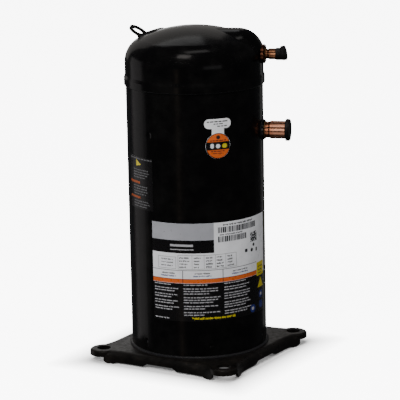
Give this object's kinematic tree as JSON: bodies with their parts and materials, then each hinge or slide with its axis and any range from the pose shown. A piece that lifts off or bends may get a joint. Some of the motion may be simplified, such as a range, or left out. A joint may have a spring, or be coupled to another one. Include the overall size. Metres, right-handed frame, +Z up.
{
  "type": "scroll compressor",
  "caption": "Upright hermetic scroll compressor: black welded shell with domed cap, square four-ear base, plugged copper suction and discharge stubs, lifting eye and terminal box.",
  "frame": {"origin": "centre of the square mounting-hole pattern, on the underside plane of the four ears", "axes": "+Z up the shell's axis, X and Y along the sides of the square base; the copper stubs point out near +X, 20 degrees towards +Y"},
  "size_m": [0.2409, 0.2402, 0.454],
  "materials": {
    "shell_paint": "gloss black enamel",
    "cap_paint": "gloss black enamel",
    "base_paint": "satin black enamel",
    "copper": "drawn copper tube, light heat tint",
    "copper_dark": "copper darkened by brazing",
    "plug_rubber": "matt moulded rubber",
    "cover_plastic": "fine-grained moulding",
    "plated_steel": "nickel plated",
    "terminal_glass": "fused glass bead",
    "zinc_screw": "bright zinc plated",
    "label_film": "printed polyester film",
    "tag_film": "printed vinyl sticker",
    "raw_steel": "pressed steel, lightly oiled",
    "machined_iron": "machined grey iron",
    "bearing_bronze": "lined bronze bush",
    "cast_aluminium": "die cast",
    "valve_brass": "turned brass",
    "spring_steel": "polished spring steel",
    "magnet": "sintered magnet",
    "ground_steel": "ground steel",
    "laminations": "stacked laminations with oxide film",
    "copper_winding": "enamelled copper wire, varnished",
    "lead_insulation": "braided sleeving"
  },
  "bodies": {
    "housing": {"main_shell": "shell_paint", "top_cap": "cap_paint", "base_plate": "base_paint", "lifting_eye": "base_paint", "suction_spud": "shell_paint", "discharge_spud": "copper_dark", "suction_tube": "copper", "discharge_tube": "copper_dark", "terminal_fence": "shell_paint", "terminal_body": "plated_steel", "terminal_glass": "terminal_glass", "terminal_pins": "plated_steel", "ground_screw": "zinc_screw", "nameplate_label": "label_film", "side_label": "label_film", "tag_label": "tag_film", "muffler_plate": "raw_steel", "main_bearing_housing": "machined_iron", "main_bearing_bush": "bearing_bronze", "scroll_sleeves": "raw_steel", "scroll_bolts": "zinc_screw", "relief_valve_body": "valve_brass", "relief_spring": "raw_steel", "discharge_valve_cage": "raw_steel", "suction_baffle": "raw_steel", "sump_magnet": "magnet", "lower_bearing_bracket": "raw_steel", "lower_bearing_bush": "bearing_bronze", "thrust_washer": "spring_steel", "stator_core": "laminations", "stator_winding": "copper_winding", "stator_leads": "lead_insulation"},
    "crankshaft": {"crankshaft": "ground_steel", "drive_bushing": "ground_steel", "rotor_core": "laminations", "rotor_end_rings": "cast_aluminium", "upper_counterweight": "machined_iron", "lower_counterweight": "machined_iron", "oil_pickup": "raw_steel"},
    "orbiting_scroll": {"orbiting_scroll": "machined_iron", "hub_bearing_bush": "bearing_bronze"},
    "oldham_ring": {"oldham_ring": "cast_aluminium"},
    "non_orbiting_scroll": {"non_orbiting_scroll": "machined_iron"},
    "floating_seal": {"floating_seal": "machined_iron"},
    "valve_disc": {"discharge_valve_disc": "spring_steel"},
    "relief_plunger": {"relief_plunger": "raw_steel"},
    "suction_plug": {"suction_plug": "plug_rubber"},
    "discharge_plug": {"discharge_plug": "plug_rubber"},
    "terminal_cover": {"terminal_cover": "cover_plastic"}
  },
  "joints": [
    {"name": "crankshaft_spin", "type": "hinge", "parent": "housing", "child": "crankshaft", "pos_m": [0, 0, 0.138], "axis": [0, 0, 1], "continuous": true},
    {"name": "orbiting_scroll_spin", "type": "hinge", "parent": "crankshaft", "child": "orbiting_scroll", "pos_m": [0, 0.00414, 0.273], "axis": [0, 0, 1], "continuous": true},
    {"name": "oldham_slide", "type": "slide", "parent": "housing", "child": "oldham_ring", "axis": [1, 0, 0], "range_m": [-0.00414, 0.00414]},
    {"name": "scroll_float", "type": "slide", "parent": "housing", "child": "non_orbiting_scroll", "axis": [0, 0, 1], "range_m": [0, 0.001]},
    {"name": "seal_lift", "type": "slide", "parent": "non_orbiting_scroll", "child": "floating_seal", "axis": [0, 0, 1], "range_m": [0, 0.0012]},
    {"name": "valve_lift", "type": "slide", "parent": "housing", "child": "valve_disc", "axis": [0, 0, 1], "range_m": [0, 0.005]},
    {"name": "relief_lift", "type": "slide", "parent": "housing", "child": "relief_plunger", "axis": [0, 0, -1], "range_m": [0, 0.002], "stiffness_N_per_m": 300, "springref_m": -0.004, "deforming": ["relief_spring"]},
    {"name": "suction_plug_pull", "type": "slide", "parent": "housing", "child": "suction_plug", "axis": [0.9397, 0.342, 0], "range_m": [0, 0.06]},
    {"name": "discharge_plug_pull", "type": "slide", "parent": "housing", "child": "discharge_plug", "axis": [0.9397, 0.342, 0], "range_m": [0, 0.06]},
    {"name": "terminal_cover_pull", "type": "slide", "parent": "housing", "child": "terminal_cover", "axis": [-0.5736, 0.8192, 0], "range_m": [0, 0.06]}
  ],
  "couplings": [
    {"joint": "orbiting_scroll_spin", "follows": "crankshaft_spin", "ratio": -1}
  ]
}
